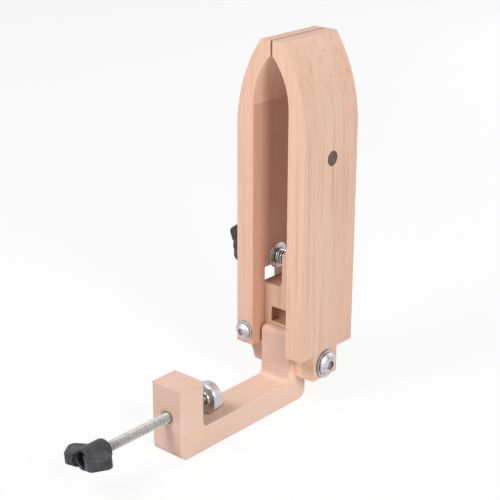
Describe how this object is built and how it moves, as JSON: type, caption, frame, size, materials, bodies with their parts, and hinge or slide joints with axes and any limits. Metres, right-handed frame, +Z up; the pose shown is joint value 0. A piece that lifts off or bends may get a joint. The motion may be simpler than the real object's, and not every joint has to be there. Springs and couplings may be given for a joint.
{
  "type": "leather stitching clamp",
  "caption": "Table clamp for hand stitching leather: tall wooden jaws on a tilting head, a winged knob that squeezes them shut and an arm with a screw for the table edge.",
  "frame": {"origin": "on the underside of the arm, in the middle of its width, straight under the front face of the leg", "axes": "+Z up to the jaw tips, -Y along the arm to the clamp screw, +X to the fixed jaw"},
  "size_m": [0.0756, 0.2038, 0.2175],
  "materials": {
    "jaw_wood": "sanded, bare",
    "block_wood": "sanded, bare",
    "arm_wood": "sanded, bare",
    "bright_steel": "bright",
    "rod_steel": "zinc plated",
    "brass": "plain",
    "black_plastic": "moulded",
    "dark_magnet": "satin"
  },
  "bodies": {
    "arm": {"arm": "arm_wood", "clamp_insert": "brass"},
    "head": {"fixed_jaw": "jaw_wood", "centre_block": "block_wood", "block_dowels": "arm_wood", "pivot_bolt": "bright_steel", "pivot_washer": "bright_steel", "pivot_insert": "brass", "jaw_insert": "brass", "needle_magnet": "dark_magnet", "spring": "bright_steel"},
    "moving_jaw": {"moving_jaw": "jaw_wood", "hinge_screw": "bright_steel", "hinge_washers": "bright_steel", "hinge_nut": "bright_steel", "spring_washer": "bright_steel"},
    "knob_washer": {"knob_washer": "bright_steel"},
    "jaw_knob": {"jaw_bolt": "rod_steel", "jaw_knob": "black_plastic", "jaw_knob_nut": "brass"},
    "pressure_pad": {"pressure_disc": "rod_steel", "disc_clip": "rod_steel"},
    "clamp_screw": {"clamp_screw": "rod_steel", "clamp_knob": "black_plastic", "clamp_knob_nut": "brass"}
  },
  "joints": [
    {"name": "head_tilt", "type": "hinge", "parent": "arm", "child": "head", "pos_m": [0, 0.0165, 0.0259], "axis": [1, 0, 0], "range_deg": [-90, 0]},
    {"name": "jaw_open", "type": "hinge", "parent": "head", "child": "moving_jaw", "pos_m": [-0.01865, 0, 0.0416], "axis": [0, -1, 0], "range_deg": [-0.28, 6.05], "deforming": ["spring"]},
    {"name": "knob_travel", "type": "slide", "parent": "head", "child": "knob_washer", "axis": [-1, 0, 0], "range_m": [-0.00025, 0.0055]},
    {"name": "jaw_knob_spin", "type": "hinge", "parent": "knob_washer", "child": "jaw_knob", "pos_m": [0, 0.0165, 0.0848], "axis": [-1, 0, 0], "range_deg": [-90, 1980]},
    {"name": "pad_travel", "type": "slide", "parent": "arm", "child": "pressure_pad", "axis": [0, 1, 0], "range_m": [-0.01, 0.04]},
    {"name": "clamp_spin", "type": "hinge", "parent": "pressure_pad", "child": "clamp_screw", "pos_m": [0, 0, 0.0241], "axis": [0, 1, 0], "range_deg": [-3600, 14400]}
  ],
  "couplings": [
    {"joint": "jaw_open", "follows": "jaw_knob_spin", "ratio": 0.0030315},
    {"joint": "knob_travel", "follows": "jaw_knob_spin", "m_per_rad": 0.00015915},
    {"joint": "pad_travel", "follows": "clamp_spin", "m_per_rad": 0.00015915}
  ]
}
